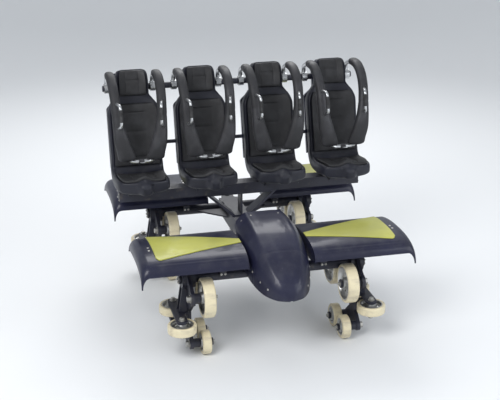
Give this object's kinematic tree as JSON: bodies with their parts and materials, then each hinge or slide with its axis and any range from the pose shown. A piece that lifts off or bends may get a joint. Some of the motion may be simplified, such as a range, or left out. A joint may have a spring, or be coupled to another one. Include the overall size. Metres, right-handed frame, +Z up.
{
  "type": "roller coaster car",
  "caption": "Floorless roller coaster lead car: seats abreast with over-shoulder restraints on a raised frame, wheel carriers and a hinged nose unit",
  "frame": {"origin": "on the floor, in the middle of the car's length and width", "axes": "X forward towards the nose, Y to the car's left, Z up"},
  "size_m": [2.518, 2.332, 2.0631],
  "materials": {
    "dark_frame": "satin dark navy-black paint",
    "navy_shell": "glossy navy gel coat",
    "lime_band": "glossy lime-yellow gel coat",
    "black_padding": "moulded black urethane",
    "bright_steel": "satin",
    "cream_wheel": "cast cream polyurethane on a hub"
  },
  "bodies": {
    "seat_car": {"chassis_spine": "dark_frame", "rear_axle": "dark_frame", "rear_clevis": "dark_frame", "seat_frame": "dark_frame", "seat_backs": "navy_shell", "brake_fin": "bright_steel", "rear_fender_arms": "dark_frame", "rear_fenders": "navy_shell", "rear_bands": "lime_band", "seat_1": "black_padding", "seat_2": "black_padding", "seat_3": "black_padding", "seat_4": "black_padding"},
    "hitch_swivel": {"hitch_swivel": "bright_steel"},
    "hitch_yoke": {"hitch_yoke": "bright_steel"},
    "nose_unit": {"front_axle": "dark_frame", "nose_hood": "navy_shell", "front_fender_arms": "dark_frame", "front_fenders": "navy_shell", "front_bands": "lime_band", "carrier_front_left": "dark_frame", "carrier_front_right": "dark_frame"},
    "restraint_1": {"restraint_1": "bright_steel", "restraint_pad_1": "black_padding"},
    "restraint_2": {"restraint_2": "bright_steel", "restraint_pad_2": "black_padding"},
    "restraint_3": {"restraint_3": "bright_steel", "restraint_pad_3": "black_padding"},
    "restraint_4": {"restraint_4": "bright_steel", "restraint_pad_4": "black_padding"},
    "road_front_left_a": {"road_front_left_a": "cream_wheel"},
    "road_front_left_b": {"road_front_left_b": "cream_wheel"},
    "guide_front_left_a": {"guide_front_left_a": "cream_wheel"},
    "guide_front_left_b": {"guide_front_left_b": "cream_wheel"},
    "upstop_front_left_a": {"upstop_front_left_a": "cream_wheel"},
    "upstop_front_left_b": {"upstop_front_left_b": "cream_wheel"},
    "road_front_right_a": {"road_front_right_a": "cream_wheel"},
    "road_front_right_b": {"road_front_right_b": "cream_wheel"},
    "guide_front_right_a": {"guide_front_right_a": "cream_wheel"},
    "guide_front_right_b": {"guide_front_right_b": "cream_wheel"},
    "upstop_front_right_a": {"upstop_front_right_a": "cream_wheel"},
    "upstop_front_right_b": {"upstop_front_right_b": "cream_wheel"},
    "carrier_rear_left": {"carrier_rear_left": "dark_frame"},
    "road_rear_left_a": {"road_rear_left_a": "cream_wheel"},
    "road_rear_left_b": {"road_rear_left_b": "cream_wheel"},
    "guide_rear_left_a": {"guide_rear_left_a": "cream_wheel"},
    "guide_rear_left_b": {"guide_rear_left_b": "cream_wheel"},
    "upstop_rear_left_a": {"upstop_rear_left_a": "cream_wheel"},
    "upstop_rear_left_b": {"upstop_rear_left_b": "cream_wheel"},
    "carrier_rear_right": {"carrier_rear_right": "dark_frame"},
    "road_rear_right_a": {"road_rear_right_a": "cream_wheel"},
    "road_rear_right_b": {"road_rear_right_b": "cream_wheel"},
    "guide_rear_right_a": {"guide_rear_right_a": "cream_wheel"},
    "guide_rear_right_b": {"guide_rear_right_b": "cream_wheel"},
    "upstop_rear_right_a": {"upstop_rear_right_a": "cream_wheel"},
    "upstop_rear_right_b": {"upstop_rear_right_b": "cream_wheel"},
    "rollback_dog": {"rollback_dog": "bright_steel"}
  },
  "joints": [
    {"name": "hitch_roll", "type": "hinge", "parent": "seat_car", "child": "hitch_swivel", "pos_m": [0.451, 0, 0.639], "axis": [1, 0, 0], "range_deg": [-15, 15]},
    {"name": "hitch_pitch", "type": "hinge", "parent": "hitch_swivel", "child": "hitch_yoke", "pos_m": [0.451, 0, 0.639], "axis": [0, 1, 0], "range_deg": [-10, 10]},
    {"name": "hitch_yaw", "type": "hinge", "parent": "hitch_yoke", "child": "nose_unit", "pos_m": [0.551, 0, 0.639], "axis": [0, 0, 1], "range_deg": [-12, 12]},
    {"name": "restraint_1_swing", "type": "hinge", "parent": "seat_car", "child": "restraint_1", "pos_m": [-0.88751, 0.918, 1.86125], "axis": [0, -1, 0], "range_deg": [-12, 66]},
    {"name": "restraint_2_swing", "type": "hinge", "parent": "seat_car", "child": "restraint_2", "pos_m": [-0.88751, 0.312, 1.86125], "axis": [0, -1, 0], "range_deg": [-12, 66]},
    {"name": "restraint_3_swing", "type": "hinge", "parent": "seat_car", "child": "restraint_3", "pos_m": [-0.88751, -0.312, 1.86125], "axis": [0, -1, 0], "range_deg": [-12, 66]},
    {"name": "restraint_4_swing", "type": "hinge", "parent": "seat_car", "child": "restraint_4", "pos_m": [-0.88751, -0.918, 1.86125], "axis": [0, -1, 0], "range_deg": [-12, 66]},
    {"name": "road_front_left_a_spin", "type": "hinge", "parent": "nose_unit", "child": "road_front_left_a", "pos_m": [0.869, 0.6, 0.537], "axis": [0, 1, 0], "continuous": true},
    {"name": "road_front_left_b_spin", "type": "hinge", "parent": "nose_unit", "child": "road_front_left_b", "pos_m": [0.469, 0.6, 0.537], "axis": [0, 1, 0], "continuous": true},
    {"name": "guide_front_left_a_spin", "type": "hinge", "parent": "nose_unit", "child": "guide_front_left_a", "pos_m": [0.869, 0.808, 0.288], "axis": [0, 0, 1], "continuous": true},
    {"name": "guide_front_left_b_spin", "type": "hinge", "parent": "nose_unit", "child": "guide_front_left_b", "pos_m": [0.469, 0.808, 0.288], "axis": [0, 0, 1], "continuous": true},
    {"name": "upstop_front_left_a_spin", "type": "hinge", "parent": "nose_unit", "child": "upstop_front_left_a", "pos_m": [0.789, 0.6, 0.1], "axis": [0, 1, 0], "continuous": true},
    {"name": "upstop_front_left_b_spin", "type": "hinge", "parent": "nose_unit", "child": "upstop_front_left_b", "pos_m": [0.549, 0.6, 0.1], "axis": [0, 1, 0], "continuous": true},
    {"name": "road_front_right_a_spin", "type": "hinge", "parent": "nose_unit", "child": "road_front_right_a", "pos_m": [0.869, -0.6, 0.537], "axis": [0, 1, 0], "continuous": true},
    {"name": "road_front_right_b_spin", "type": "hinge", "parent": "nose_unit", "child": "road_front_right_b", "pos_m": [0.469, -0.6, 0.537], "axis": [0, 1, 0], "continuous": true},
    {"name": "guide_front_right_a_spin", "type": "hinge", "parent": "nose_unit", "child": "guide_front_right_a", "pos_m": [0.869, -0.808, 0.288], "axis": [0, 0, 1], "continuous": true},
    {"name": "guide_front_right_b_spin", "type": "hinge", "parent": "nose_unit", "child": "guide_front_right_b", "pos_m": [0.469, -0.808, 0.288], "axis": [0, 0, 1], "continuous": true},
    {"name": "upstop_front_right_a_spin", "type": "hinge", "parent": "nose_unit", "child": "upstop_front_right_a", "pos_m": [0.789, -0.6, 0.1], "axis": [0, 1, 0], "continuous": true},
    {"name": "upstop_front_right_b_spin", "type": "hinge", "parent": "nose_unit", "child": "upstop_front_right_b", "pos_m": [0.549, -0.6, 0.1], "axis": [0, 1, 0], "continuous": true},
    {"name": "carrier_rear_left_pitch", "type": "hinge", "parent": "seat_car", "child": "carrier_rear_left", "pos_m": [-0.891, 0.6, 0.639], "axis": [0, 1, 0], "range_deg": [-8, 8]},
    {"name": "road_rear_left_a_spin", "type": "hinge", "parent": "carrier_rear_left", "child": "road_rear_left_a", "pos_m": [-0.691, 0.6, 0.537], "axis": [0, 1, 0], "continuous": true},
    {"name": "road_rear_left_b_spin", "type": "hinge", "parent": "carrier_rear_left", "child": "road_rear_left_b", "pos_m": [-1.091, 0.6, 0.537], "axis": [0, 1, 0], "continuous": true},
    {"name": "guide_rear_left_a_spin", "type": "hinge", "parent": "carrier_rear_left", "child": "guide_rear_left_a", "pos_m": [-0.691, 0.808, 0.288], "axis": [0, 0, 1], "continuous": true},
    {"name": "guide_rear_left_b_spin", "type": "hinge", "parent": "carrier_rear_left", "child": "guide_rear_left_b", "pos_m": [-1.091, 0.808, 0.288], "axis": [0, 0, 1], "continuous": true},
    {"name": "upstop_rear_left_a_spin", "type": "hinge", "parent": "carrier_rear_left", "child": "upstop_rear_left_a", "pos_m": [-0.771, 0.6, 0.1], "axis": [0, 1, 0], "continuous": true},
    {"name": "upstop_rear_left_b_spin", "type": "hinge", "parent": "carrier_rear_left", "child": "upstop_rear_left_b", "pos_m": [-1.011, 0.6, 0.1], "axis": [0, 1, 0], "continuous": true},
    {"name": "carrier_rear_right_pitch", "type": "hinge", "parent": "seat_car", "child": "carrier_rear_right", "pos_m": [-0.891, -0.6, 0.639], "axis": [0, 1, 0], "range_deg": [-8, 8]},
    {"name": "road_rear_right_a_spin", "type": "hinge", "parent": "carrier_rear_right", "child": "road_rear_right_a", "pos_m": [-0.691, -0.6, 0.537], "axis": [0, 1, 0], "continuous": true},
    {"name": "road_rear_right_b_spin", "type": "hinge", "parent": "carrier_rear_right", "child": "road_rear_right_b", "pos_m": [-1.091, -0.6, 0.537], "axis": [0, 1, 0], "continuous": true},
    {"name": "guide_rear_right_a_spin", "type": "hinge", "parent": "carrier_rear_right", "child": "guide_rear_right_a", "pos_m": [-0.691, -0.808, 0.288], "axis": [0, 0, 1], "continuous": true},
    {"name": "guide_rear_right_b_spin", "type": "hinge", "parent": "carrier_rear_right", "child": "guide_rear_right_b", "pos_m": [-1.091, -0.808, 0.288], "axis": [0, 0, 1], "continuous": true},
    {"name": "upstop_rear_right_a_spin", "type": "hinge", "parent": "carrier_rear_right", "child": "upstop_rear_right_a", "pos_m": [-0.771, -0.6, 0.1], "axis": [0, 1, 0], "continuous": true},
    {"name": "upstop_rear_right_b_spin", "type": "hinge", "parent": "carrier_rear_right", "child": "upstop_rear_right_b", "pos_m": [-1.011, -0.6, 0.1], "axis": [0, 1, 0], "continuous": true},
    {"name": "rollback_dog_lift", "type": "hinge", "parent": "seat_car", "child": "rollback_dog", "pos_m": [-0.741, 0, 0.515], "axis": [0, 1, 0], "range_deg": [0, 25]}
  ]
}
